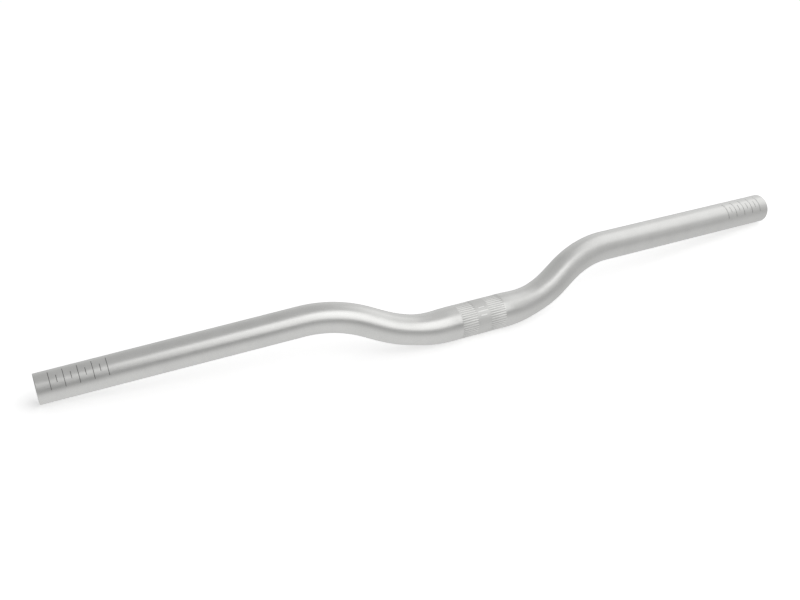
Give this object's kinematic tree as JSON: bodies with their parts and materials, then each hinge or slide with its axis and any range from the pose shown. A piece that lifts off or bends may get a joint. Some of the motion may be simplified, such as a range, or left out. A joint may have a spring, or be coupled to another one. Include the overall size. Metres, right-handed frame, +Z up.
{
  "type": "riser handlebar",
  "caption": "Riser handlebar: a hollow tube with a thicker straight clamp barrel in the middle, bends that lift it and sweep it back on each side, and straight ends for grips and levers.",
  "frame": {"origin": "middle of the clamp barrel, on the tube's axis", "axes": "+X along the clamp barrel, +Y towards the side that the grips sweep to, +Z up, with the bar lying on the underside of its barrel and on the lower edges of its ends"},
  "size_m": [0.63, 0.0819, 0.0436],
  "materials": {
    "satin_aluminium": "satin, finely blasted and clear anodised"
  },
  "bodies": {
    "root": {"handlebar": "satin_aluminium"}
  },
  "joints": []
}
